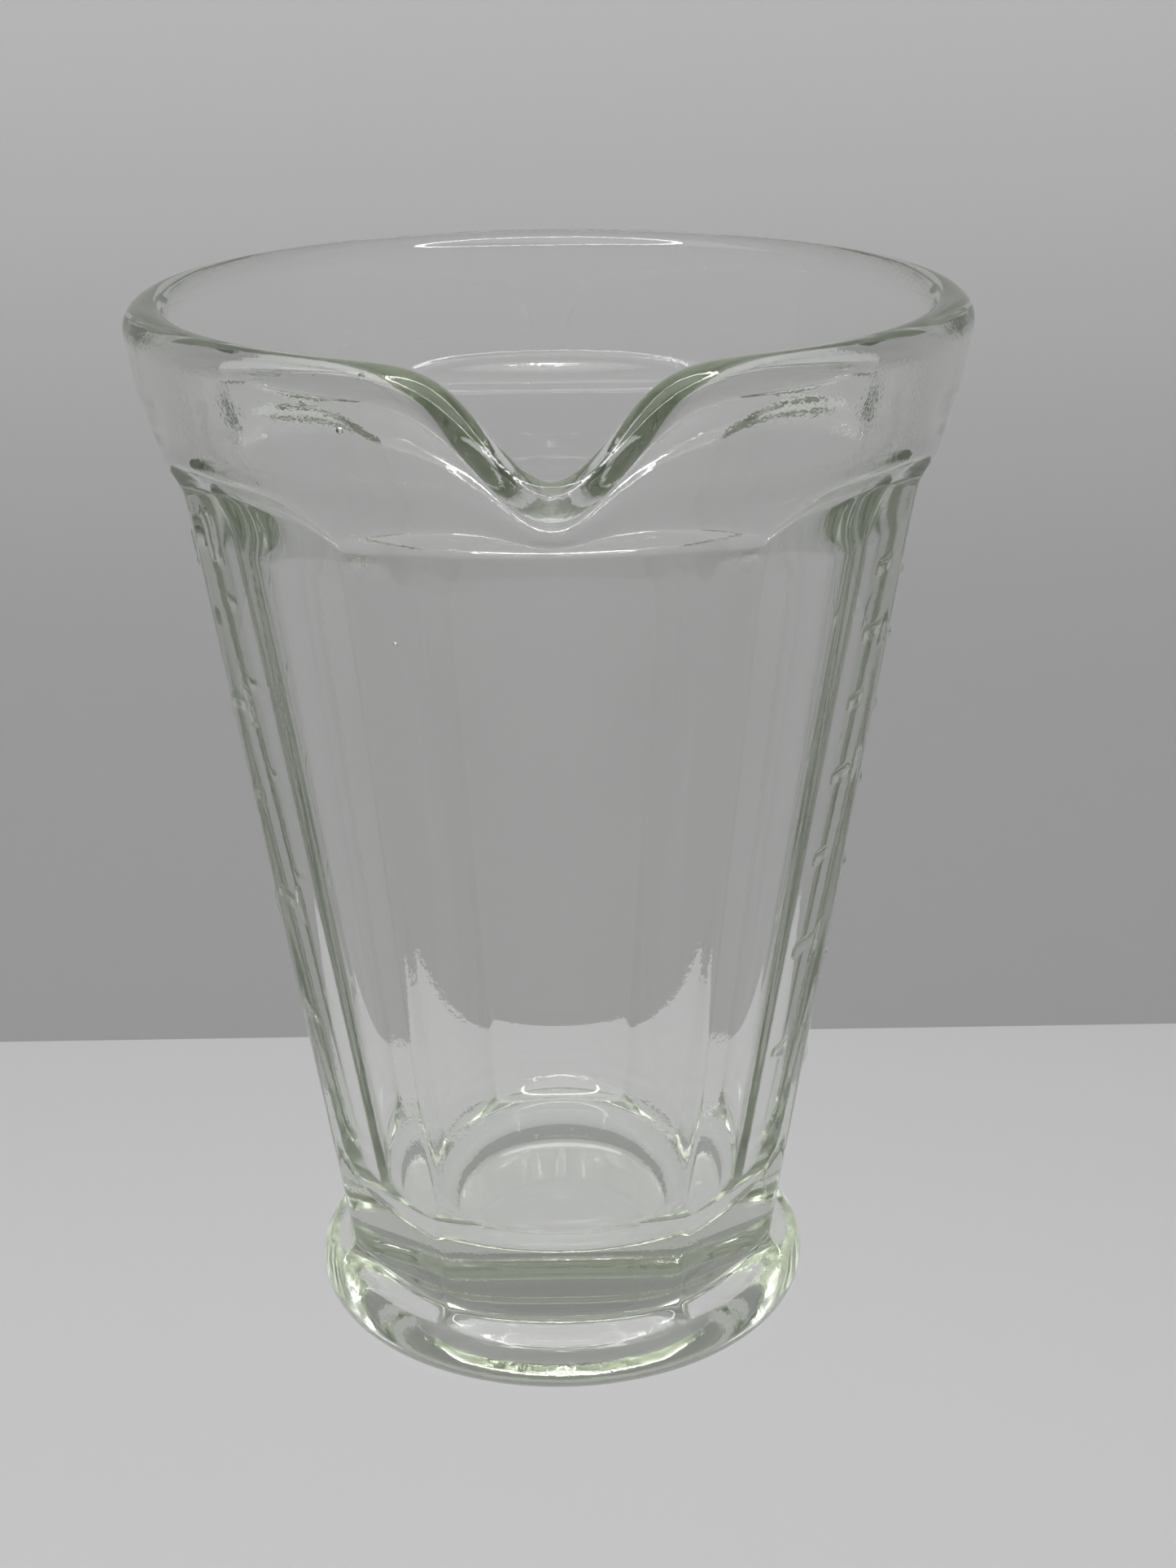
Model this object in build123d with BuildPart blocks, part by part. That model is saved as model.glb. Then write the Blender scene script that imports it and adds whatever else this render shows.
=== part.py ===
"""Kitchen measuring beaker of pressed glass: round foot, eight tapered panels, plain flared
collar, rolled rim and a pouring lip, with raised measuring scales on the two side panels.

Frame: millimetres, +Z up, origin at the centre of the base on the surface it stands on.
The pouring lip faces -Y.  Right scale (fluid ounces) is on the +X panel, left scale
(tablespoons) is on the -X panel.
"""
import os
from math import atan, cos, degrees, pi, radians, sin, tan

from build123d import *

# ---- driving dimensions (mm, degrees) --------------------------------------------------
HEIGHT = 125.0            # standing plane to the top of the rim
RIM_RADIUS = 47.2         # outside of the rim bead
LIP_THICKNESS = 5.4       # rim bead, measured across the wall

FOOT_RADIUS = 30.3        # widest point of the foot
FOOT_HEIGHT = 8.4         # standing plane to the foot of the panels
FOOT_EDGE = 4.1           # rounding of the foot's rim, above and below
FOOT_TURN = 80.0          # how far the rounding turns on above the widest point
FOOT_STEP = 3.5           # foot's widest point in to the panel corners
PANEL_BITE = 1.4          # how far the panels bite into the foot's shoulder

LEDGE_DROP = 20.0         # rim top down to where the panels start to run out
LEDGE_STEP = 5.0          # rim's outside in to the panel corners at that height
COLLAR_DROP = 14.6        # rim top down to the lower edge of the collar
COLLAR_STEP = 2.1         # rim's outside in to the collar's lower edge
COVE_RADIUS = 2.5         # hollow where a panel runs out under the collar
COVE_SWEEP = 65.0         # how far that hollow turns outwards

WIDE_PANEL_CORNER = 30.5  # corners of the front and back panels, from the pouring axis
SIDE_PANEL_CORNER = 19.3  # corners of the two side panels, from the X axis
FLAT_SHARE = 0.944        # middle of a flat or wide panel, as a share of the corner radius
SIDE_SHARE = 0.985        # the same for the crowned side panels

FLOOR_HEIGHT = 14.5       # inside floor above the standing plane
FLOOR_EDGE = 8.0          # rounding between the floor and the inside wall
WALL_LOW = 6.6            # panel corner in to the inside, just above the floor rounding
WALL_HIGH = 5.8           # panel corner in to the inside, at the ledge
FLARE_DROP = 22.5         # rim top down to where the inside starts to flare
MOUTH_LEAN = 0.1          # slope of the inside just below the rim
STAND_WIDTH = 5.2         # flat ring the foot stands on
PUNT_DEPTH = 0.8          # shallow hollow inside that ring

SPOUT_REACH = 5.0         # how far the pouring lip stands out beyond the rim bead
SPOUT_DIP = 9.4           # how far the lip drops below the rim
SPOUT_HALF_WIDTH = 16.6   # half the width of the dip at the rim
DIP_SLOPE = 0.5           # slope of the dip's ends
LOBE_ROOT_RADIUS = 9.0    # outside radius of the lip's lobe at the ledge
LOBE_LIP_RADIUS = 12.5    # the same at the bottom of the dip
LOBE_RIM_RADIUS = 15.4    # the same at the rim
LOBE_ROOT_REACH = 1.2     # how far the lobe stands out beyond the panels at the ledge
SPOUT_WALL = 4.8          # glass thickness around the channel

RELIEF = 0.35             # how far the scale marks stand out of the panel
MARK_WIDTH = 0.8          # stroke width of bars and figures
LONG_BAR = 7.0
SHORT_BAR = 4.4
FIGURE_HEIGHT = 3.0
FIGURE_WIDTH = 1.7
FIGURE_GAP = 1.4          # bar end to the first figure, and between two figures
BAR_START = -6.5          # bars start this far to the left of the panel's middle
OUNCE = 28410.0           # cubic millimetres
TABLESPOON = 17760.0      # cubic millimetres
LAYER = 0.1               # thickness of one layer when the inside's volume is added up
CLEAR = 1.0               # how far cutting shapes stand clear of the glass

# ---- shapes shared by the glass and its marks ------------------------------------------
LIP_RADIUS = LIP_THICKNESS / 2
BEAD_HEIGHT = HEIGHT - LIP_RADIUS
LEDGE_HEIGHT = HEIGHT - LEDGE_DROP
COLLAR_HEIGHT = HEIGHT - COLLAR_DROP
COLLAR_RADIUS = RIM_RADIUS - COLLAR_STEP
BODY_RADIUS_LOW = FOOT_RADIUS - FOOT_STEP
BODY_RADIUS_HIGH = RIM_RADIUS - LEDGE_STEP
BODY_TAPER = (BODY_RADIUS_HIGH - BODY_RADIUS_LOW) / (LEDGE_HEIGHT - FOOT_HEIGHT)
PANEL_START = FOOT_HEIGHT - PANEL_BITE
WALL_HEIGHT = FLOOR_HEIGHT + FLOOR_EDGE
CAVITY_RADIUS_LOW = BODY_RADIUS_LOW + BODY_TAPER * (WALL_HEIGHT - FOOT_HEIGHT) - WALL_LOW
CAVITY_RADIUS_HIGH = BODY_RADIUS_HIGH - WALL_HIGH
CAVITY_TAPER = (CAVITY_RADIUS_HIGH - CAVITY_RADIUS_LOW) / (LEDGE_HEIGHT - WALL_HEIGHT)
FLARE_HEIGHT = HEIGHT - FLARE_DROP
MOUTH_RADIUS = RIM_RADIUS - LIP_THICKNESS
PUNT_RADIUS = FOOT_RADIUS - FOOT_EDGE - STAND_WIDTH
OUTSIDE = 2 * RIM_RADIUS  # a radius that is clear of everything
ORIGIN = (0, 0)


def corner_radius(height):
    """Radius of the panel corners at a height: a straight taper."""
    return BODY_RADIUS_LOW + BODY_TAPER * (height - FOOT_HEIGHT)


def cavity_radius(height):
    """Inside radius at a height between the floor rounding and the ledge."""
    return CAVITY_RADIUS_LOW + CAVITY_TAPER * (height - WALL_HEIGHT)


def level_of(volume):
    """Height of the surface when the beaker holds a volume, added up by thin layers."""
    height = FLOOR_HEIGHT
    held = 0.0
    while held < volume and height < HEIGHT:
        above_floor = min(height - FLOOR_HEIGHT, FLOOR_EDGE)
        inset = FLOOR_EDGE - (FLOOR_EDGE**2 - (FLOOR_EDGE - above_floor) ** 2) ** 0.5
        held += pi * (cavity_radius(height) - inset) ** 2 * LAYER
        height += LAYER
    return height


def scale_levels(measure, step):
    """Counts of a measure with their levels, as far up as a figure fits under the ledge."""
    levels = []
    count = step
    while level_of(count * measure) < LEDGE_HEIGHT - FIGURE_HEIGHT:
        levels.append((count, level_of(count * measure)))
        count += step
    return levels


def crown_shift(share, half_angle):
    """Distance from the beaker's axis back to the axis of a crowned panel's face.

    The face passes through both corners and through a share of the corner radius.
    """
    corner = corner_radius((FOOT_HEIGHT + LEDGE_HEIGHT) / 2)
    sagitta = corner * (share - cos(radians(half_angle)))
    half_chord = corner * sin(radians(half_angle))
    return (half_chord**2 + sagitta**2) / (2 * sagitta) - corner * share


def panel_outline(share, shift):
    """Region outside a panel's face: straight taper, then the hollow under the collar."""
    low = corner_radius(PANEL_START) * share + shift
    high = corner_radius(LEDGE_HEIGHT) * share + shift
    face = Line((low, PANEL_START), (high, LEDGE_HEIGHT))
    cove = JernArc(face @ 1, face % 1, COVE_RADIUS, -COVE_SWEEP)
    exit_height = (cove @ 1).Y + (OUTSIDE - (cove @ 1).X) * tan(radians(90 - COVE_SWEEP))
    Polyline(cove @ 1, (OUTSIDE, exit_height), (OUTSIDE, (face @ 0).Y), face @ 0)


# ---- the glass -------------------------------------------------------------------------
with BuildPart() as glass_body:
    # Foot, tapered body, collar and rolled rim: one turned shape.
    with BuildSketch(Plane.XZ):
        with BuildLine():
            base = Line(ORIGIN, (FOOT_RADIUS - FOOT_EDGE, 0))
            lower_edge = JernArc(base @ 1, base % 1, FOOT_EDGE, 90)
            upper_edge = JernArc(lower_edge @ 1, lower_edge % 1, FOOT_EDGE, FOOT_TURN)
            shoulder = Line(upper_edge @ 1, (corner_radius(FOOT_HEIGHT), FOOT_HEIGHT))
            body = Line(shoulder @ 1, (BODY_RADIUS_HIGH, LEDGE_HEIGHT))
            flare = Spline(
                body @ 1,
                (COLLAR_RADIUS, COLLAR_HEIGHT),
                tangents=(body % 1, (RIM_RADIUS - COLLAR_RADIUS, BEAD_HEIGHT - COLLAR_HEIGHT)),
            )
            collar = Line(flare @ 1, (RIM_RADIUS, BEAD_HEIGHT))
            bead = Line(collar @ 1, (RIM_RADIUS - LIP_THICKNESS, BEAD_HEIGHT))
            Polyline(bead @ 1, (0, BEAD_HEIGHT), ORIGIN)
        make_face()
    revolve(axis=Axis.Z)

    # Lobe of the pouring lip, from the ledge up past the bottom of the dip to the rim.
    lip_height = HEIGHT - SPOUT_DIP
    lip_front = RIM_RADIUS + SPOUT_REACH
    lobe_sections = (
        (LEDGE_HEIGHT, LOBE_ROOT_RADIUS, BODY_RADIUS_HIGH * FLAT_SHARE + LOBE_ROOT_REACH),
        (lip_height, LOBE_LIP_RADIUS, lip_front),
        (HEIGHT, LOBE_RIM_RADIUS, lip_front),
    )
    for height, radius, front in lobe_sections:
        with BuildSketch(Plane.XY.offset(height)):
            with Locations((0, radius - front)):
                Circle(radius)
    loft()

    # The bead itself, a ring around the rim.
    with BuildSketch(Plane.XZ):
        with Locations((RIM_RADIUS - LIP_RADIUS, BEAD_HEIGHT)):
            Circle(LIP_RADIUS)
    revolve(axis=Axis.Z)

    # Flat panels on the four diagonals.
    diagonal = (WIDE_PANEL_CORNER + 90 - SIDE_PANEL_CORNER) / 2
    for azimuth in (diagonal, 180 - diagonal, 180 + diagonal, 360 - diagonal):
        with BuildSketch(Plane.XZ.rotated((0, 0, azimuth - 90))):
            with BuildLine():
                panel_outline(FLAT_SHARE, 0)
            make_face()
        extrude(amount=RIM_RADIUS, both=True, mode=Mode.SUBTRACT)

    # Crowned panels: wide ones at the front and back, narrow ones at the sides.
    for azimuth, share, half_angle in (
        (-90, FLAT_SHARE, WIDE_PANEL_CORNER),
        (90, FLAT_SHARE, WIDE_PANEL_CORNER),
        (0, SIDE_SHARE, SIDE_PANEL_CORNER),
        (180, SIDE_SHARE, SIDE_PANEL_CORNER),
    ):
        shift = crown_shift(share, half_angle)
        behind = (-shift * cos(radians(azimuth)), -shift * sin(radians(azimuth)), 0)
        with BuildSketch(Plane(origin=behind, x_dir=(1, 0, 0), z_dir=(0, -1, 0))):
            with BuildLine():
                panel_outline(share, shift)
            make_face()
        revolve(axis=Axis(behind, (0, 0, 1)), mode=Mode.SUBTRACT)

    # Inside: rounded floor, tapered wall, flare up to the rim.
    with BuildSketch(Plane.XZ):
        with BuildLine():
            floor = Line((0, FLOOR_HEIGHT), (CAVITY_RADIUS_LOW - FLOOR_EDGE, FLOOR_HEIGHT))
            floor_edge = JernArc(floor @ 1, floor % 1, FLOOR_EDGE, 90 - degrees(atan(CAVITY_TAPER)))
            wall = Line(floor_edge @ 1, (cavity_radius(FLARE_HEIGHT), FLARE_HEIGHT))
            mouth = Spline(
                wall @ 1,
                (MOUTH_RADIUS, BEAD_HEIGHT),
                tangents=(wall % 1, (MOUTH_LEAN, 1)),
            )
            Polyline(mouth @ 1, (MOUTH_RADIUS, HEIGHT + CLEAR), (0, HEIGHT + CLEAR), (0, FLOOR_HEIGHT))
        make_face()
    revolve(axis=Axis.Z, mode=Mode.SUBTRACT)

    # Channel of the pouring lip: it grows out of the inside wall at the ledge.
    channel_sections = (
        (LEDGE_HEIGHT, LOBE_ROOT_RADIUS - SPOUT_WALL / 2, CAVITY_RADIUS_HIGH),
        (lip_height, LOBE_LIP_RADIUS - SPOUT_WALL, lip_front - SPOUT_WALL),
        (HEIGHT, LOBE_RIM_RADIUS - SPOUT_WALL, lip_front - SPOUT_WALL),
    )
    for height, radius, front in channel_sections:
        with BuildSketch(Plane.XY.offset(height)):
            with Locations((0, radius - front)):
                Circle(radius)
    loft(mode=Mode.SUBTRACT)

    # Dip of the lip below the rim.
    with BuildSketch(Plane.XZ.offset(OUTSIDE)):
        with BuildLine():
            left_end = (-SPOUT_HALF_WIDTH - CLEAR, HEIGHT + CLEAR)
            right_end = (SPOUT_HALF_WIDTH + CLEAR, HEIGHT + CLEAR)
            dip = Spline(
                left_end,
                (0, HEIGHT - SPOUT_DIP),
                right_end,
                tangents=((1, -DIP_SLOPE), (1, DIP_SLOPE)),
            )
            Line(right_end, left_end)
        make_face()
    extrude(amount=RIM_RADIUS / 2 - OUTSIDE, mode=Mode.SUBTRACT)

    # Shallow hollow under the base.
    with BuildSketch():
        Circle(PUNT_RADIUS)
    with BuildSketch(Plane.XY.offset(PUNT_DEPTH)):
        Circle(PUNT_RADIUS - 2 * PUNT_DEPTH)
    loft(mode=Mode.SUBTRACT)

glass_body.part.label = "glass_body"

# ---- raised scale marks on the side panels ---------------------------------------------
FIGURES = {
    "0": ((0, 0), (1, 0), (1, 2), (0, 2), (0, 0)),
    "1": ((0.5, 0), (0.5, 2), (0.1, 1.6)),
    "2": ((1, 0), (0, 0), (1, 1.3), (0.9, 2), (0.1, 2), (0, 1.6)),
    "4": ((0.8, 0), (0.8, 2), (0, 0.7), (1, 0.7)),
    "6": ((0.9, 2), (0.1, 1.1), (0, 0), (1, 0), (1, 1.1), (0.1, 1.1)),
    "8": ((0, 0), (1, 0), (1, 0.9), (0.1, 1.1), (0.1, 2), (0.9, 2), (0.9, 1.1), (0, 0.9), (0, 0)),
}


def face_slice(stand_out):
    """Everything inside the right side panel's face, moved outwards by a distance."""
    shift = crown_shift(SIDE_SHARE, SIDE_PANEL_CORNER)
    low = corner_radius(PANEL_START) * SIDE_SHARE + shift + stand_out
    high = corner_radius(LEDGE_HEIGHT) * SIDE_SHARE + shift + stand_out
    with BuildPart(mode=Mode.PRIVATE) as turned:
        with BuildSketch(Plane.XZ):
            with BuildLine():
                face = Line((low, PANEL_START), (high, LEDGE_HEIGHT))
                Polyline(face @ 1, (0, LEDGE_HEIGHT), (0, PANEL_START), face @ 0)
            make_face()
        revolve(axis=Axis.Z)
    return turned.part.moved(Location((-shift, 0, 0)))


def draw_bars(levels, long_every):
    """One bar at each level; every so many levels a long one."""
    for count, level in levels:
        length = LONG_BAR if count % long_every == 0 else SHORT_BAR
        with Locations((BAR_START + length / 2, level)):
            Rectangle(length, MARK_WIDTH)


def draw_figures(levels, long_every):
    """The count beside each long bar, figure by figure, each a bent line of even width."""
    for count, level in levels:
        if count % long_every:
            continue
        left = BAR_START + LONG_BAR + FIGURE_GAP
        for place, figure in enumerate(str(count)):
            start = left + place * (FIGURE_WIDTH + FIGURE_GAP)
            points = [
                (start + x * FIGURE_WIDTH, level + (y - 1) * FIGURE_HEIGHT / 2)
                for x, y in FIGURES[figure]
            ]
            for first, second in zip(points, points[1:]):
                with BuildLine():
                    stroke = Line(first, second)
                trace(stroke, line_width=MARK_WIDTH)
                with Locations(first, second):
                    Circle(MARK_WIDTH / 2)


def raise_marks(side, draw, levels, long_every):
    """Solids of one set of marks on the panel at +X (side 1) or -X (side -1)."""
    turn = Rotation(0, 0, 0 if side > 0 else 180)
    with BuildPart() as marks:
        with BuildSketch(Plane(origin=(0, 0, 0), x_dir=(0, side, 0), z_dir=(side, 0, 0))):
            draw(levels, long_every)
        extrude(amount=RIM_RADIUS)
        add(turn * face_slice(RELIEF), mode=Mode.INTERSECT)
        add(turn * face_slice(0), mode=Mode.SUBTRACT)
    return marks


ounce_levels = scale_levels(OUNCE, 1)
spoon_levels = scale_levels(TABLESPOON, 2)

os.makedirs("parts", exist_ok=True)
export_step(glass_body.part, "parts/glass_body.step")
for name, side, draw, levels, long_every in (
    ("ounce_bars", 1, draw_bars, ounce_levels, 2),
    ("ounce_figures", 1, draw_figures, ounce_levels, 2),
    ("tablespoon_bars", -1, draw_bars, spoon_levels, 4),
    ("tablespoon_figures", -1, draw_figures, spoon_levels, 4),
):
    marks = raise_marks(side, draw, levels, long_every)
    marks.part.label = name
    export_step(marks.part, f"parts/{name}.step")
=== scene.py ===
"""Kitchen measuring beaker of pressed glass, standing on a pale table in front of a pale wall."""
from math import cos, pi, radians, sin

import bpy
import numpy as np
from mathutils import Matrix, Vector


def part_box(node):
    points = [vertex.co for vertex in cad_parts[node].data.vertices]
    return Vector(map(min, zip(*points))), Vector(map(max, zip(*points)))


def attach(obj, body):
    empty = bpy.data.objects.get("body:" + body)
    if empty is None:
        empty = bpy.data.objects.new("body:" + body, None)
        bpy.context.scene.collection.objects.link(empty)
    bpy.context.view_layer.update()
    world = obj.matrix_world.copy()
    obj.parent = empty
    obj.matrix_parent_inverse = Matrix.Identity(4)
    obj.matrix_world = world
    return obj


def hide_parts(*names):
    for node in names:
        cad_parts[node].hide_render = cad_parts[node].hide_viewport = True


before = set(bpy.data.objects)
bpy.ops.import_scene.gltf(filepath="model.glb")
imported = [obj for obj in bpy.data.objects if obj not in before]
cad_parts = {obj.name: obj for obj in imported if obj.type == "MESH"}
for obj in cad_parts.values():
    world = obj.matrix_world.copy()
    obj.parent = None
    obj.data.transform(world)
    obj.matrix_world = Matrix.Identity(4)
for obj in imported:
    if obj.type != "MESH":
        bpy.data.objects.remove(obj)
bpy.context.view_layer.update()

# ---- Glass: outside ---------------------------------------------------------------------
# One pressing of clear soda-lime glass: round foot, eight tapered panels that run out in
# arches under a plain flared collar, and a rolled rim. The mould shapes all of it, and the
# flame afterwards softens every edge. Lengths are millimetres until the mesh is made.
MM = 0.001
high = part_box("glass_body")[1]
HEIGHT = high.z / MM
RIM_RADIUS = high.x / MM
LIP_THICKNESS = 5.4
FOOT_RADIUS = 30.3
FOOT_EDGE = 4.1
FOOT_HEIGHT = 8.4
BODY_RADIUS_LOW = 26.8
BODY_RADIUS_HIGH = 42.2
LEDGE_HEIGHT = 105.0
COLLAR_RADIUS = 45.1
FLARE_FROM = 103.0
FLARE_TO = 110.4
SIDE_FLARE = 6.0
CUSP_HEIGHT = HEIGHT - 18.8
ARCH_RISE = 4.4
WIDE_ARCH_RISE = 2.0
STEP_FOOT = HEIGHT - 20.4
STEP_RISE = 2.2
PANEL_CORNERS = (-149.5, -109.3, -70.7, -30.5, 30.5, 70.7, 109.3, 149.5)
SIDE_PANELS = (-90.0, 90.0)
FLAT_SHARE = 0.944        # middle of a flat panel, as a share of the corner radius
SIDE_SHARE = 0.985        # the same for the crowned side panels
COLUMNS = 288
FINE_SCALE = 0.42         # mesh spacing across the raised marks


def smooth(x):
    """Cubic step: 3x^2 - 2x^3 between 0 and 1, level outside."""
    x = np.clip(x, 0, 1)
    return x * x * (3 - 2 * x)


def bell(x, width):
    """exp(-(x / width)^2)."""
    return np.exp(-((x / width) ** 2))


def corner_radius(z):
    """Radius of the panel corners at height z: a straight taper."""
    slope = (BODY_RADIUS_HIGH - BODY_RADIUS_LOW) / (LEDGE_HEIGHT - FOOT_HEIGHT)
    return BODY_RADIUS_LOW + slope * (z - FOOT_HEIGHT)


def turn_to(angles, middle):
    """Angles in degrees measured from a panel's middle, between -180 and 180."""
    return (angles - middle + 180) % 360 - 180


def column_angles():
    """Angles of the mesh columns in degrees from the pouring lip, towards +X.

    A density over the circle is summed up, and equal steps of that sum are the columns:
    closer at the panel corners, at the raised marks and at the pouring lip.
    """
    fine = np.linspace(-180, 180, 14401)
    density = 0.42 * np.ones_like(fine)
    for corner in PANEL_CORNERS:
        density += 1.5 * bell(turn_to(fine, corner), 2.2)
    for side in SIDE_PANELS:
        density += 1.0 * smooth((13.5 - np.abs(turn_to(fine, side))) / 2)
    density += 0.75 * smooth((26 - np.abs(fine)) / 8)
    total = np.concatenate(([0], np.cumsum((density[1:] + density[:-1]) / 2)))
    return np.interp(np.arange(COLUMNS) / COLUMNS, total / total[-1], fine)


def panel_section(angles):
    """Radius of the eight-sided section as a share of the corner radius.

    A flat side is cos(h) / cos(a). A crowned side is a circle through both corners and the
    middle. The sides are joined by a soft minimum, -log(sum exp(-k r)) / k, which rounds
    the corners as the flame does.
    """
    softness = 170
    edges = list(PANEL_CORNERS) + [PANEL_CORNERS[0] + 360]
    total = np.zeros_like(angles)
    for first, last in zip(edges, edges[1:]):
        middle = (first + last) / 2
        half = radians((last - first) / 2)
        away = np.radians(turn_to(angles, middle))
        near = np.abs(away) < radians(75)
        away = np.where(near, away, 0)
        share = SIDE_SHARE if abs(abs(middle) - 90) < 1 else FLAT_SHARE
        if share > cos(half) + 0.002:
            rise = share - cos(half)
            circle = (sin(half) ** 2 + rise**2) / (2 * rise)
            back = circle - share
            side = np.sqrt(circle**2 - (back * np.sin(away)) ** 2) - back * np.cos(away)
        else:
            side = cos(half) / np.cos(away)
        total += np.where(near, np.exp(-softness * side), 0)
    return -np.log(total) / softness


def arch(angles):
    """Share of the arch's rise, 1 - (2t)^4 across each panel, and whether the panel is wide."""
    edges = np.array(list(PANEL_CORNERS) + [PANEL_CORNERS[0] + 360])
    turned = np.where(angles < edges[0], angles + 360, angles)
    place = np.clip(np.searchsorted(edges, turned, side="right") - 1, 0, len(edges) - 2)
    width = edges[place + 1] - edges[place]
    t = np.abs(turned - (edges[place] + edges[place + 1]) / 2) / width * 2
    return 1 - t**4, width > 50


def turned_radius(z):
    """Turned outside above the foot: the body's taper, a smooth flare, then the collar.

    The flare is longer over the two side panels.
    """
    flare = smooth((z - FLARE_FROM) / (FLARE_TO + SIDE_FLARE * sides - FLARE_FROM))
    body = corner_radius(np.minimum(z, FLARE_TO))
    lean = (RIM_RADIUS - COLLAR_RADIUS) / (HEIGHT - LIP_THICKNESS / 2 - FLARE_TO)
    return body + (COLLAR_RADIUS + lean * (z - FLARE_TO) - body) * flare


angles = column_angles()
section = panel_section(angles)
arch_share, wide = arch(angles)
sides = smooth((24 - np.abs(np.abs(angles) - 90)) / 8)
SWEEP = 0.1 + 0.9 * sides
ones = np.ones(COLUMNS)


def arc(centre, radius, start, end, rows):
    """Rows of a circular arc in the profile, turned all the way round."""
    turns = np.radians(np.linspace(start, end, rows))
    r = centre[0] + radius * np.cos(turns)
    z = centre[1] + radius * np.sin(turns)
    return r[:, None] * ones, z[:, None] * ones


def straight(first, last, rows):
    """Rows evenly spaced between two rings, each given as (radius, height)."""
    t = np.linspace(0, 1, rows)[:, None]
    return first[0] + (last[0] - first[0]) * t * ones, first[1] + (last[1] - first[1]) * t * ones


# Underside and foot.
PUNT_RADIUS = 21.0
PUNT_DEPTH = 0.8
SHOULDER_TURN = 62.0
foot_centre = (FOOT_RADIUS - FOOT_EDGE, FOOT_EDGE)
outside = [
    straight((3.0, PUNT_DEPTH), (PUNT_RADIUS - 1.6, PUNT_DEPTH), 4),
    straight((PUNT_RADIUS, 0.0), (FOOT_RADIUS - FOOT_EDGE, 0.0), 4),
    arc(foot_centre, FOOT_EDGE, -82, SHOULDER_TURN, 18),
]

# Panels: each bites into the shoulder of the foot in a shallow scallop.
panel_foot = FOOT_HEIGHT + 0.9 - 1.7 * arch_share
panel_radius = section * corner_radius(panel_foot)
scallop = (panel_radius + 0.35, panel_foot - 0.25)
outside.append(straight(scallop, (panel_radius, panel_foot + 0.6), 4))
MARKS_FROM, MARKS_TO = 31.0, 101.0
mark_rows = np.arange(MARKS_FROM, MARKS_TO, FINE_SCALE)[:, None] * ones
low_rows = np.linspace(0, 1, 10)[1:-1, None] * (MARKS_FROM - panel_foot - 0.6) + panel_foot + 0.6
arch_height = CUSP_HEIGHT + np.where(wide, WIDE_ARCH_RISE, ARCH_RISE) * arch_share
step_foot = STEP_FOOT + np.where(wide, 0, STEP_RISE) * arch_share
high_rows = MARKS_TO + np.linspace(0, 1, 16)[1:, None] * (step_foot - MARKS_TO)
panel_heights = np.vstack([low_rows, mark_rows, high_rows])


def panel_face(z):
    """The straight face of the panel; a side panel sweeps outwards with the flare instead."""
    straight_face = section * corner_radius(z)
    swept = turned_radius(z) - (1 - section) * corner_radius(z)
    return straight_face + SWEEP * (swept - straight_face)


outside.append((panel_face(panel_heights), panel_heights))

# Hollow step at the arch, out to the collar.
step = np.linspace(0, 1, 15)[1:, None]
step_z = step_foot + step * (arch_height - step_foot)
step_from = panel_face(step_foot)
outside.append((step_from + (turned_radius(arch_height) - step_from) * step**1.3, step_z))

# Collar and rim bead.
COLLAR_ROWS = 25
BEAD_ROWS = 17
lip = LIP_THICKNESS / 2
bead_height = HEIGHT - lip
collar = np.linspace(0, 1, COLLAR_ROWS + 1)[1:, None]
collar_z = arch_height + collar * (bead_height - 0.5 - arch_height)
outside.append((turned_radius(collar_z), collar_z))
outside.append(arc((RIM_RADIUS - lip, bead_height), lip, 0, 180, BEAD_ROWS))

# ---- Glass: inside ----------------------------------------------------------------------
# The plunger leaves a smooth round inside: a flare below the rim, one straight taper, and a
# floor with a rounded corner. The floor is a thick slug of glass.
FLOOR_HEIGHT = 14.5
FLOOR_EDGE = 8.0
CAVITY_RADIUS_LOW = 22.4
CAVITY_RADIUS_HIGH = 36.4
MOUTH_RADIUS = RIM_RADIUS - LIP_THICKNESS
MOUTH_LEAN = 0.11
THROAT_FROM = 100.0
THROAT_TO = 113.0
taper_foot = FLOOR_HEIGHT + FLOOR_EDGE


def bezier(points, t):
    """Cubic curve through the first and last point, drawn towards the two between."""
    a, b, c, d = points
    s = 1 - t
    return s**3 * a + 3 * s * s * t * b + 3 * s * t * t * c + t**3 * d


taper = (CAVITY_RADIUS_HIGH - CAVITY_RADIUS_LOW) / (LEDGE_HEIGHT - 2.5 - taper_foot)


def inside_radius(z):
    """Inside above the floor's corner: the taper, then a slow flare that follows the collar."""
    flare = smooth((z - THROAT_FROM) / (THROAT_TO - THROAT_FROM))
    wall = CAVITY_RADIUS_LOW + taper * (np.minimum(z, THROAT_TO) - taper_foot)
    upper = MOUTH_RADIUS - MOUTH_LEAN * (bead_height - z)
    return wall + (upper - wall) * flare


mouth_z = np.linspace(bead_height, THROAT_FROM, 36)[1:-1, None]
inside = [
    (inside_radius(mouth_z) * ones, mouth_z * ones),
    straight((inside_radius(THROAT_FROM), THROAT_FROM), (CAVITY_RADIUS_LOW, taper_foot - 0.8), 14),
    arc((CAVITY_RADIUS_LOW - FLOOR_EDGE, taper_foot), FLOOR_EDGE, -14, -86, 14),
    straight((CAVITY_RADIUS_LOW - FLOOR_EDGE - 1.2, FLOOR_HEIGHT), (3.0, FLOOR_HEIGHT), 5),
]

radius = np.vstack([part[0] for part in outside + inside])
height = np.vstack([part[1] for part in outside + inside])
outside_rows = sum(len(part[0]) for part in outside)


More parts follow.
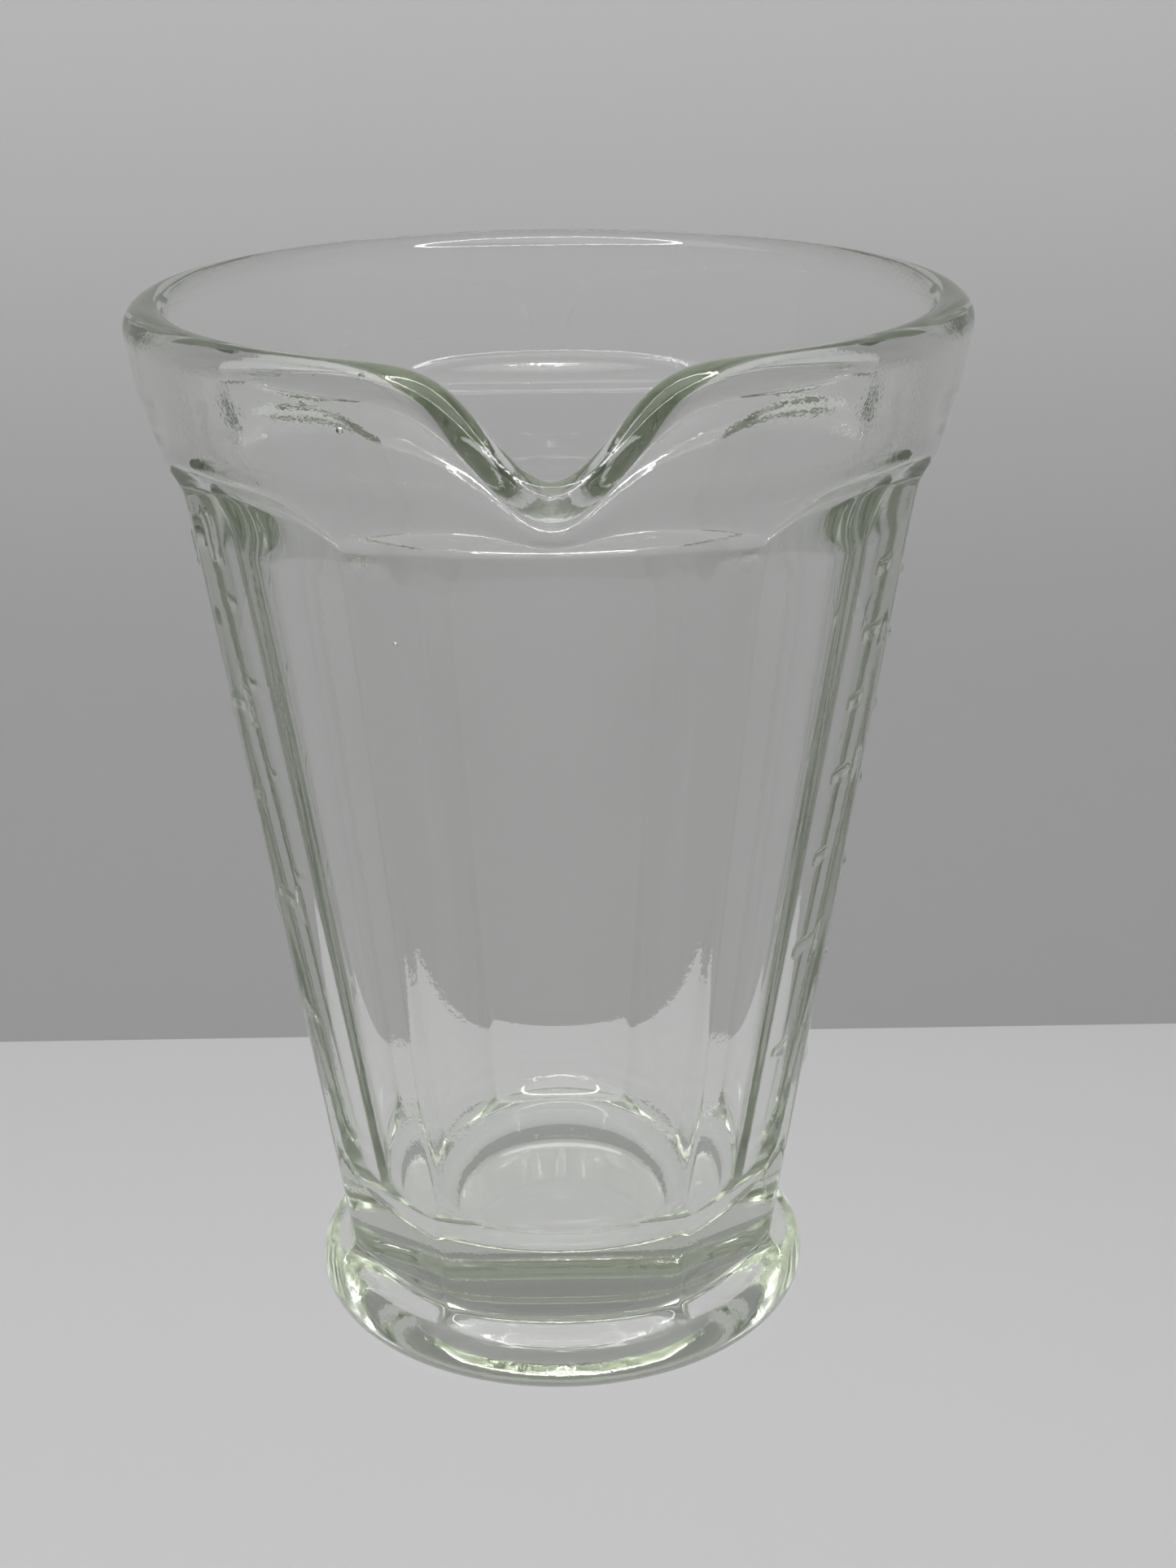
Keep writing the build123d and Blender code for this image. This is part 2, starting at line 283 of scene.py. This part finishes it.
def relax(values, first, last, times):
    """Softens edges between two rows: each ring moves towards the mean of its neighbours."""
    for _ in range(times):
        middle = values[first:last]
        below, above = values[first - 1:last - 1], values[first + 1:last + 1]
        values[first:last] = (below + 2 * middle + above) / 4


foot_rows = sum(len(part[0]) for part in outside[:4])
arch_row = outside_rows - BEAD_ROWS - COLLAR_ROWS
for grid in (radius, height):
    relax(grid, 4, foot_rows + 4, 3)
    relax(grid, arch_row - 7, arch_row + 5, 2)
    relax(grid, outside_rows - BEAD_ROWS - 2, outside_rows + 3, 2)

# ---- Raised measures --------------------------------------------------------------------
# The mould is engraved on its two side panels, so bars and figures stand out of the glass:
# fluid ounces on the right, tablespoons on the left. They are part of the same pressing.
RELIEF = 0.35
STROKE = 0.8
LONG_BAR = 7.0
SHORT_BAR = 4.4
BAR_START = -6.5
FIGURE_HEIGHT = 3.0
FIGURE_WIDTH = 1.7
FIGURE_GAP = 1.4
OUNCE = 28.41
TABLESPOON = 17.76
FIGURES = {
    "0": ((0, 0), (1, 0), (1, 2), (0, 2), (0, 0)),
    "1": ((0.5, 0), (0.5, 2), (0.1, 1.6)),
    "2": ((1, 0), (0, 0), (1, 1.3), (0.9, 2), (0.1, 2), (0, 1.6)),
    "4": ((0.8, 0), (0.8, 2), (0, 0.7), (1, 0.7)),
    "6": ((0.9, 2), (0.1, 1.1), (0, 0), (1, 0), (1, 1.1), (0.1, 1.1)),
    "8": ((0, 0), (1, 0), (1, 0.9), (0.1, 1.1), (0.1, 2), (0.9, 2), (0.9, 1.1), (0, 0.9), (0, 0)),
}


def fill_levels(volumes):
    """Heights of the surface for volumes in millilitres, from the inside's own profile."""
    z = height[outside_rows:, 0][::-1]
    r = radius[outside_rows:, 0][::-1]
    slices = pi * (r[1:] ** 2 + r[1:] * r[:-1] + r[:-1] ** 2) / 3 * np.diff(z)
    return np.interp(volumes, np.concatenate(([0], np.cumsum(slices))) / 1000, z)


def scale_strokes(counts, measure, long_every):
    """Straight strokes ((x, z), (x, z)) of one scale: a bar for each count, then its figures."""
    strokes = []
    for count, level in zip(counts, fill_levels(np.array(counts) * measure)):
        long = count % long_every == 0
        end = BAR_START + (LONG_BAR if long else SHORT_BAR)
        strokes.append(((BAR_START, level), (end, level)))
        for place, figure in enumerate(str(count) if long else ""):
            start = BAR_START + LONG_BAR + FIGURE_GAP + place * (FIGURE_WIDTH + FIGURE_GAP)
            points = [(start + x * FIGURE_WIDTH, level + (y - 1) * FIGURE_HEIGHT / 2)
                      for x, y in FIGURES[figure]]
            strokes += list(zip(points, points[1:]))
    return strokes


def relief(x, z, strokes):
    """Height of the marks at (x, z): a rounded ridge over the distance to the nearest stroke."""
    nearest = np.full(x.shape, 9.0)
    for (x1, z1), (x2, z2) in strokes:
        dx, dz = x2 - x1, z2 - z1
        along = np.clip(((x - x1) * dx + (z - z1) * dz) / (dx * dx + dz * dz), 0, 1)
        nearest = np.minimum(nearest, np.hypot(x - x1 - along * dx, z - z1 - along * dz))
    return RELIEF * smooth(1.35 - nearest / (STROKE * 0.75))


for side, strokes in (
    (90.0, scale_strokes(range(1, 8), OUNCE, 2)),
    (-90.0, scale_strokes(range(2, 14, 2), TABLESPOON, 4)),
):
    away = turn_to(angles, side)
    marked = np.abs(away) < 16
    across = radius[:outside_rows, marked] * np.sin(np.radians(away[marked]))
    radius[:outside_rows, marked] += relief(across, height[:outside_rows, marked], strokes)

# ---- Pouring lip ------------------------------------------------------------------------
# While the glass is soft the front of the rim is drawn down and outwards over a finger-wide
# tool. The wall bends with it, thins in the middle and keeps its rounded edge.
BEND_FROM = 105.5
DIP = 9.6
DIP_WIDTH = 8.3
DRAW_OUT = 4.7
DRAW_WIDTH = 10.0
LIP_TURN = 72.0
TURN_WIDTH = 14.0
THINNING = 0.2
THIN_WIDTH = 5.0

across = RIM_RADIUS * np.sin(np.radians(angles))
front = np.where(np.abs(angles) < 75, 1.0, 0.0)
rim_centre = RIM_RADIUS - lip
root_centre = (turned_radius(BEND_FROM) + inside_radius(BEND_FROM)) / 2
lean = np.arctan2(rim_centre - root_centre, bead_height - BEND_FROM)


def wall_line(dip, out, turn, t):
    """Middle line of the wall from its root to the rim, with the direction it takes there.

    A cubic curve that starts upwards and ends turned outwards by an angle.
    Returns the place and the outward normal for each t.
    """
    end_r = rim_centre + out
    end_z = bead_height - dip
    handle = np.hypot(end_r - root_centre, end_z - BEND_FROM) * 0.36
    points_r = (root_centre, root_centre + handle * np.sin(lean),
                end_r - handle * np.sin(lean + turn), end_r)
    points_z = (BEND_FROM, BEND_FROM + handle * np.cos(lean),
                end_z - handle * np.cos(lean + turn), end_z)
    place = [bezier(points, t) for points in (points_r, points_z)]
    step = 0.001
    ahead = [bezier(points, t + step) for points in (points_r, points_z)]
    dr, dz = ahead[0] - place[0], ahead[1] - place[1]
    length = np.hypot(dr, dz)
    return place[0], place[1], dz / length, -dr / length


def draw_lip(r, z):
    """Moves the wall's rings from the upright wall's line to the drawn lip's line."""
    t = np.clip((z - BEND_FROM) / (bead_height - BEND_FROM), 0, 1)
    r0, z0, nr0, nz0 = wall_line(0, 0, 0, t)
    r1, z1, nr1, nz1 = wall_line(DIP * bell(across, DIP_WIDTH) * front,
                                 DRAW_OUT * bell(across, DRAW_WIDTH) * front,
                                 np.radians(LIP_TURN) * bell(across, TURN_WIDTH) * front, t)
    thin = 1 - THINNING * bell(across, THIN_WIDTH) * front * smooth(t)
    # Place across and along the upright wall, then the same place on the drawn one.
    off = (r - r0) * nr0 + (z - z0) * nz0
    up = -(r - r0) * nz0 + (z - z0) * nr0
    new_r = r1 + thin * (off * nr1 - up * nz1)
    new_z = z1 + thin * (off * nz1 + up * nr1)
    share = smooth((z - BEND_FROM) / 4)
    return r + share * (new_r - r), z + share * (new_z - z)


radius, height = draw_lip(radius, height)

# ---- Glass: mesh ------------------------------------------------------------------------
# All rings joined into one closed skin, with the two round ends closed by a fan.


def closed_skin(r, z):
    """Points (r sin a, -r cos a, z) of every ring, and quads between rings, fans at both ends."""
    rows, columns = r.shape
    turn = np.radians(angles)
    points = np.stack([r * np.sin(turn), -r * np.cos(turn), z], axis=-1).reshape(-1, 3)
    ends = np.array([[0, 0, z[0].mean()], [0, 0, z[-1].mean()]])
    row = np.arange(rows - 1)[:, None] * columns
    column = np.arange(columns)
    following = (column + 1) % columns
    above = row + columns
    quads = np.stack([row + column, row + following, above + following, above + column], -1)
    first, last = rows * columns, rows * columns + 1
    top = (rows - 1) * columns
    fans = [(first, b, a) for a, b in zip(column, following)]
    fans += [(last, top + a, top + b) for a, b in zip(column, following)]
    return np.vstack([points, ends]) * MM, quads.reshape(-1, 4), fans


def bubble(angle, r, z, size):
    """Ball (cos u sin v, cos u cos v, sin u) size about (r, angle, z), its skin facing inwards."""
    u, v = np.meshgrid(np.linspace(-1.5, 1.5, 11), np.arange(20) / 20 * 2 * pi, indexing="ij")
    ball = size * np.stack([np.cos(u) * np.sin(v), np.cos(u) * np.cos(v), np.sin(u)], -1)
    turn = radians(angle)
    index = np.arange(u.size).reshape(u.shape)
    ahead = np.roll(index, -1, axis=1)
    quads = np.stack([index[:-1], ahead[:-1], ahead[1:], index[1:]], -1).reshape(-1, 4)
    middle = np.array([r * sin(turn), -r * cos(turn), z])
    caps = np.stack([index[0, ::-1], index[-1]])
    return (ball + middle).reshape(-1, 3) * MM, quads, caps


points, quads, fans = closed_skin(radius, height)
faces = quads.tolist() + [tuple(map(int, fan)) for fan in fans]
# Two small bubbles caught in the front wall.
for ball, skin, caps in (bubble(-27.2, 44.6, 118.2, 0.4), bubble(-26.1, 36.5, 94.4, 0.25)):
    faces += (skin + len(points)).tolist() + (caps + len(points)).tolist()
    points = np.vstack([points, ball])
mesh = bpy.data.meshes.new("glass")
mesh.from_pydata(points.tolist(), [], faces)
mesh.shade_smooth()
glass = bpy.data.objects.new("glass", mesh)
bpy.context.scene.collection.objects.link(glass)

# ---- Glass: finish ----------------------------------------------------------------------
# Clear glass with a faint grey-green cast in its thickness. Value lets the finish be written
# as sums of its shader sockets.


class Value:
    """A shader socket that can be added, multiplied and so on like a number."""

    def __init__(self, tree, socket):
        self.tree = tree
        self.socket = socket

    def node(self, kind, out, settings=(), **inputs):
        """Any other node: its settings and inputs by name, and one of its outputs."""
        made = self.tree.nodes.new(kind)
        for name, setting in settings:
            setattr(made, name, setting)
        for name, value in inputs.items():
            target = made.inputs[name.replace("_", " ")]
            if isinstance(value, Value):
                self.tree.links.new(value.socket, target)
            else:
                target.default_value = value
        return Value(self.tree, made.outputs[out])

    def maths(self, operation, first, second):
        made = self.tree.nodes.new("ShaderNodeMath")
        made.operation = operation
        for target, value in zip(made.inputs, (first, second)):
            if isinstance(value, Value):
                self.tree.links.new(value.socket, target)
            else:
                target.default_value = value
        return Value(self.tree, made.outputs[0])

    def __add__(self, other): return self.maths("ADD", self, other)
    def __radd__(self, other): return self.maths("ADD", other, self)
    def __sub__(self, other): return self.maths("SUBTRACT", self, other)
    def __rsub__(self, other): return self.maths("SUBTRACT", other, self)
    def __mul__(self, other): return self.maths("MULTIPLY", self, other)
    def __rmul__(self, other): return self.maths("MULTIPLY", other, self)
    def __truediv__(self, other): return self.maths("DIVIDE", self, other)
    def __rtruediv__(self, other): return self.maths("DIVIDE", other, self)
    def __pow__(self, other): return self.maths("POWER", self, other)
    def __gt__(self, other): return self.maths("GREATER_THAN", self, other)


material = bpy.data.materials.new("clear_glass")
material.use_nodes = True
tree = material.node_tree
shader = tree.nodes["Principled BSDF"]
shader.inputs["Base Color"].default_value = (1, 1, 1, 1)
shader.inputs["Transmission Weight"].default_value = 1.0
shader.inputs["IOR"].default_value = 1.5
absorb = tree.nodes.new("ShaderNodeVolumeAbsorption")
absorb.inputs["Color"].default_value = (0.71, 0.745, 0.665, 1)
absorb.inputs["Density"].default_value = 23.0
tree.links.new(absorb.outputs["Volume"], tree.nodes["Material Output"].inputs["Volume"])

# Fine orange-peel left by the iron mould on the outside, and a very slow waviness all over.
# The inside, polished by the plunger, stays smooth but for a few hair scratches.
place = Value(tree, tree.nodes.new("ShaderNodeTexCoord").outputs["Object"])
parts = place.node("ShaderNodeSeparateXYZ", "X", Vector=place)
x, y, z = [Value(tree, parts.socket.node.outputs[axis]) for axis in "XYZ"]
across_axis = (x * x + y * y) ** 0.5
moulded = across_axis > 0.0245 + 0.155 * z
peel = place.node("ShaderNodeTexNoise", "Fac", Vector=place, Scale=1500.0, Detail=2.0)
patches = place.node("ShaderNodeTexNoise", "Fac", Vector=place, Scale=70.0, Detail=1.0)
waves = place.node("ShaderNodeTexNoise", "Fac", Vector=place, Scale=38.0, Detail=0.0)
scratch = place.node("ShaderNodeTexVoronoi", "Distance", (("feature", "DISTANCE_TO_EDGE"),),
                     Vector=place, Scale=160.0, Randomness=1.0)
relief_height = moulded * peel * patches * 0.00004 + waves * 0.00009
bumped = place.node("ShaderNodeBump", "Normal", Height=relief_height, Distance=1.0, Strength=0.6)
tree.links.new(bumped.socket, shader.inputs["Normal"])
worn = (0.02 - scratch) * 3.0
dull = place.node("ShaderNodeClamp", "Result", Value=worn * patches, Min=0.0, Max=0.06)
tree.links.new(dull.socket, shader.inputs["Roughness"])
mesh.materials.append(material)
# The glass dims neither the table under it nor the light around it.
glass.visible_shadow = False
glass.visible_diffuse = False
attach(glass, "root")
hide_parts("glass_body", "ounce_bars", "ounce_figures",
            "tablespoon_bars", "tablespoon_figures")

# ---- Table and wall ---------------------------------------------------------------------
# A plain matt table that meets a plain matt wall behind the glass; the wall is paler upwards, its
# colour painted darker towards the bottom as painted shade of the overhead light falling off.
WALL_BEHIND = 0.0686


def plane(name, corners, colour):
    """A flat sheet through four corners with one plain matt colour."""
    sheet = bpy.data.meshes.new(name)
    sheet.from_pydata(corners, [], [(0, 1, 2, 3)])
    thing = bpy.data.objects.new(name, sheet)
    bpy.context.scene.collection.objects.link(thing)
    paint = bpy.data.materials.new(name)
    paint.use_nodes = True
    paint.node_tree.nodes["Principled BSDF"].inputs["Base Color"].default_value = (*colour, 1)
    paint.node_tree.nodes["Principled BSDF"].inputs["Roughness"].default_value = 0.8
    sheet.materials.append(paint)
    return thing


plane("table", [(-2, -2, 0), (2, -2, 0), (2, WALL_BEHIND, 0), (-2, WALL_BEHIND, 0)],
      (0.75, 0.75, 0.755))
wall = plane("wall", [(-2, WALL_BEHIND, 0), (2, WALL_BEHIND, 0),
                      (2, WALL_BEHIND, 2), (-2, WALL_BEHIND, 2)], (0.62, 0.62, 0.62))
tree = wall.data.materials[0].node_tree
place = Value(tree, tree.nodes.new("ShaderNodeTexCoord").outputs["Object"])
parts = place.node("ShaderNodeSeparateXYZ", "Z", Vector=place)
# Painted shade: the wall's base colour runs from 0.50 at the foot to 0.74 higher up, standing in
# for light from above falling off.
wall_painted_shade = place.node("ShaderNodeMapRange", "Result", (("interpolation_type", "SMOOTHSTEP"),),
                  Value=parts, From_Min=0.05, From_Max=0.17, To_Min=0.50, To_Max=0.74)
tree.links.new(wall_painted_shade.socket, tree.nodes["Principled BSDF"].inputs["Base Color"])
# The sheet has a front only: its back face lets light through, so it never hides the glass.
behind = place.node("ShaderNodeNewGeometry", "Backfacing")
see_through = place.node("ShaderNodeBsdfTransparent", "BSDF")
mix = tree.nodes.new("ShaderNodeMixShader")
tree.links.new(behind.socket, mix.inputs["Fac"])
tree.links.new(tree.nodes["Principled BSDF"].outputs["BSDF"], mix.inputs[1])
tree.links.new(see_through.socket, mix.inputs[2])
tree.links.new(mix.outputs["Shader"], tree.nodes["Material Output"].inputs["Surface"])

# ---- Light ------------------------------------------------------------------------------
# A pale room, one large soft light overhead and a glowing ring that draws a line on the rim.
world = bpy.data.worlds.new("room")
bpy.context.scene.world = world
world.use_nodes = True
world.node_tree.nodes["Background"].inputs["Color"].default_value = (0.62, 0.62, 0.62, 1)
world.node_tree.nodes["Background"].inputs["Strength"].default_value = 0.85


def area_light(name, place, target, size, power):
    """A square soft light at a place, turned to a target."""
    lamp = bpy.data.lights.new(name, "AREA")
    lamp.energy = power
    lamp.size = size
    thing = bpy.data.objects.new(name, lamp)
    thing.location = place
    thing.rotation_euler = (Vector(target) - Vector(place)).to_track_quat("-Z", "Y").to_euler()
    bpy.context.scene.collection.objects.link(thing)
    return thing


def lamp_ring(place, ring, tube, strength):
    """Glowing tube on a level circle: (w sin u, w cos u, tube sin v), w = ring + tube cos v."""
    u, v = np.meshgrid(np.arange(72) / 72 * 2 * pi, np.arange(8) / 8 * 2 * pi, indexing="ij")
    out = ring + tube * np.cos(v)
    points = np.stack([out * np.sin(u), out * np.cos(u), tube * np.sin(v)], -1)
    points = points.reshape(-1, 3) + np.array(place)
    index = np.arange(u.size).reshape(u.shape)
    ahead = np.roll(index, -1, axis=0)
    quads = np.stack([index, np.roll(index, -1, axis=1), np.roll(ahead, -1, axis=1), ahead], -1)
    mesh = bpy.data.meshes.new("lamp ring")
    mesh.from_pydata(points.tolist(), [], quads.reshape(-1, 4).tolist())
    glow = bpy.data.materials.new("lamp ring")
    glow.use_nodes = True
    glow.node_tree.nodes["Principled BSDF"].inputs["Emission Color"].default_value = (1, 1, 1, 1)
    glow.node_tree.nodes["Principled BSDF"].inputs["Emission Strength"].default_value = strength
    mesh.materials.append(glow)
    ring = bpy.data.objects.new("lamp ring", mesh)
    bpy.context.scene.collection.objects.link(ring)
    ring.visible_diffuse = False
    ring.visible_shadow = False


area_light("ceiling", (-0.15, -0.1, 0.9), (0, 0, 0), 0.9, 3.2)
lamp_ring((0, -0.12, 0.38), 0.15, 0.006, 18.0)
# Light crosses many surfaces of thick glass; with fewer bounces its edges turn black. The
# raised clamp lets the ring's thin reflections stay bright.
for kind in ("max_bounces", "transmission_bounces", "glossy_bounces", "sample_clamp_indirect"):
    setattr(bpy.context.scene.cycles, kind, 40)

# ---- Camera -----------------------------------------------------------------------------
# It stands a little over two heights in front, above the rim, and looks down at the glass.
eye = Vector((0, -2.333, 1.391)) * HEIGHT * MM
pitch, yaw, roll = radians(20.31), radians(0.75), radians(-0.57)
camera = bpy.data.cameras.new("camera")
camera.lens = 59.8
camera.sensor_width = 36
camera.clip_start = 0.01
viewer = bpy.data.objects.new("camera", camera)
viewer.matrix_world = (
    Matrix.Translation(eye)
    @ Matrix.Rotation(-yaw, 4, "Z")
    @ Matrix.Rotation(pi / 2 - pitch, 4, "X")
    @ Matrix.Rotation(roll, 4, "Z")
)
bpy.context.scene.collection.objects.link(viewer)
bpy.context.scene.camera = viewer
bpy.context.scene.view_settings.view_transform = "Standard"
